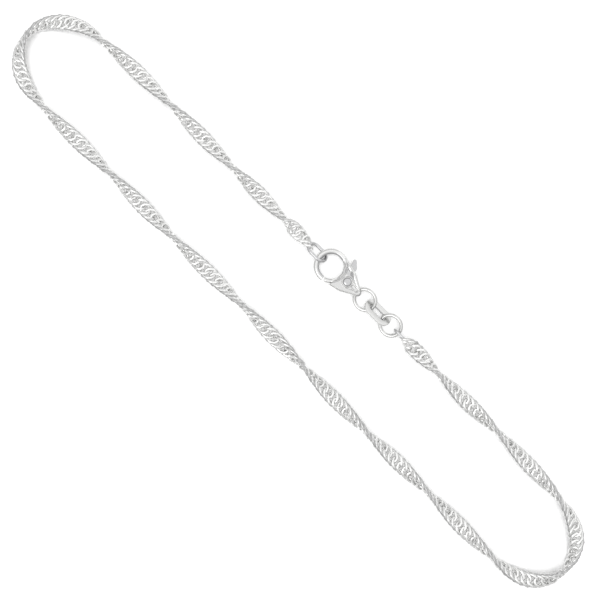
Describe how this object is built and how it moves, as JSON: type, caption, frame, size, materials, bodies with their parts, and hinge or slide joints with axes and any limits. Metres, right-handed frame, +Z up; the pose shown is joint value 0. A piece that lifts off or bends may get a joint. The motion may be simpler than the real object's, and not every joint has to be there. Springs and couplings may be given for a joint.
{
  "type": "singapore chain necklace",
  "caption": "Neck chain of flat curb links twisted into a rippling band, with a lobster clasp, round jump rings and a small slotted tag.",
  "frame": {"origin": "middle of the loop's outline, on the surface that the chain lies on", "axes": "+X runs along the loop's long way, from the end link side to the first link side; +Y points from the far strand to the strand with the clasp; +Z up, away from the surface"},
  "size_m": [0.1803, 0.0287, 0.0038],
  "materials": {
    "chain_silver": "drawn silver wire, diamond cut and polished bright",
    "cast_silver": "cast silver, tumble polished",
    "pressed_silver": "stamped silver, polished a little softer",
    "ring_silver": "round silver wire, polished bright",
    "tag_silver": "stamped silver sheet, polished, bare face"
  },
  "bodies": {
    "necklace": {"chain": "chain_silver", "end_link": "chain_silver", "clasp_body": "cast_silver", "clasp_rivet": "pressed_silver", "clasp_ring": "ring_silver", "tag_link": "tag_silver", "chain_ring": "ring_silver", "first_link": "chain_silver"},
    "lever": {"clasp_lever": "pressed_silver"}
  },
  "joints": [
    {"name": "lever_turn", "type": "hinge", "parent": "necklace", "child": "lever", "pos_m": [0.00515, 0.0092, 0.0017], "axis": [0, 0, -1], "range_deg": [0, 25], "stiffness_Nm_per_rad": 0.004, "springref_deg": -17.19}
  ]
}
